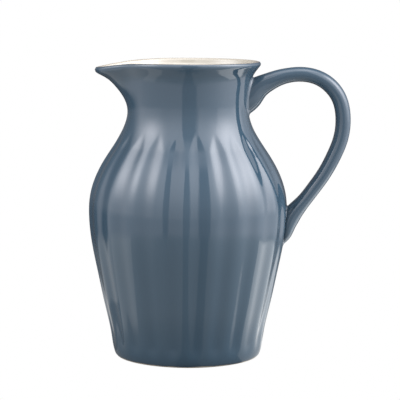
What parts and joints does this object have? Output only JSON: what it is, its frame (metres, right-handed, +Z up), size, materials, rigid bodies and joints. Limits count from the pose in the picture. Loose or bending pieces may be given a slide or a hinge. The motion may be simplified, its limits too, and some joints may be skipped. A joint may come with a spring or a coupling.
{
  "type": "ceramic pitcher",
  "caption": "Fluted glazed stoneware pitcher with a waisted neck, pulled pouring spout and loop handle, cream inside.",
  "frame": {"origin": "centre of the flat foot, on the surface the pitcher stands on", "axes": "+Z up along the axis of the body, +X towards the handle, -X towards the spout, the handle and spout lying in the XZ plane"},
  "size_m": [0.2025, 0.1544, 0.2299],
  "materials": {
    "blue_glaze": "glossy slate blue glaze over stoneware",
    "cream_glaze": "glossy cream liner glaze",
    "slip_joint": "blue glaze breaking paler over the slip"
  },
  "bodies": {
    "root": {"body": "blue_glaze", "inner_glaze": "cream_glaze", "handle": "blue_glaze", "upper_slip_joint": "slip_joint", "lower_slip_joint": "slip_joint"}
  },
  "joints": []
}
